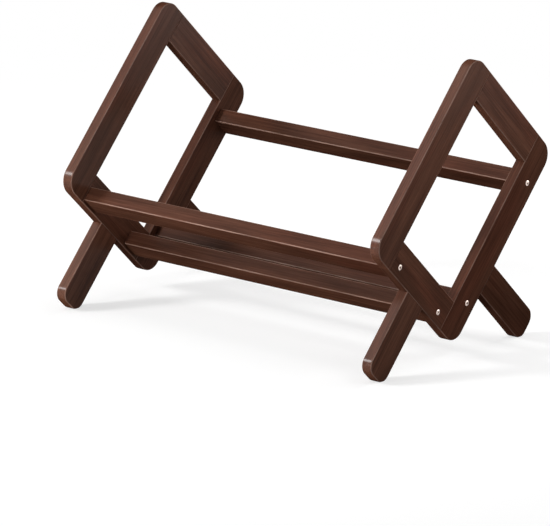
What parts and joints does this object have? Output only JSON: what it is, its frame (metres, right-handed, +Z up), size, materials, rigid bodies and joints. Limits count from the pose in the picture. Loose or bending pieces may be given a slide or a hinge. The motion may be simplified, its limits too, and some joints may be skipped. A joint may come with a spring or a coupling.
{
  "type": "desktop book rack",
  "caption": "Tilted wooden desktop bookshelf: leaning open side frames on crossed legs, joined by long rails that hold a row of books in a slanted trough.",
  "frame": {"origin": "on the floor, under the middle of the rack's box", "axes": "+X along the rack from its left to its right side seen from the front, +Y from front to back, +Z up"},
  "size_m": [0.49, 0.341, 0.3596],
  "materials": {
    "stained_wood": "dark walnut stain under satin lacquer",
    "dowel_wood": "bare beech",
    "screw_steel": "zinc plated"
  },
  "bodies": {
    "root": {"left_front_bar": "stained_wood", "left_back_bar": "stained_wood", "left_bottom_bar": "stained_wood", "left_top_bar": "stained_wood", "left_front_leg": "stained_wood", "left_back_leg": "stained_wood", "right_front_bar": "stained_wood", "right_back_bar": "stained_wood", "right_bottom_bar": "stained_wood", "right_top_bar": "stained_wood", "right_front_leg": "stained_wood", "right_back_leg": "stained_wood", "front_seat_rail": "stained_wood", "rear_seat_rail": "stained_wood", "lower_back_rail": "stained_wood", "upper_back_rail": "stained_wood", "left_frame_dowels": "dowel_wood", "left_leg_dowels": "dowel_wood", "left_rail_dowels": "dowel_wood", "right_frame_dowels": "dowel_wood", "right_leg_dowels": "dowel_wood", "right_rail_dowels": "dowel_wood", "left_screws": "screw_steel", "right_screws": "screw_steel"}
  },
  "joints": []
}
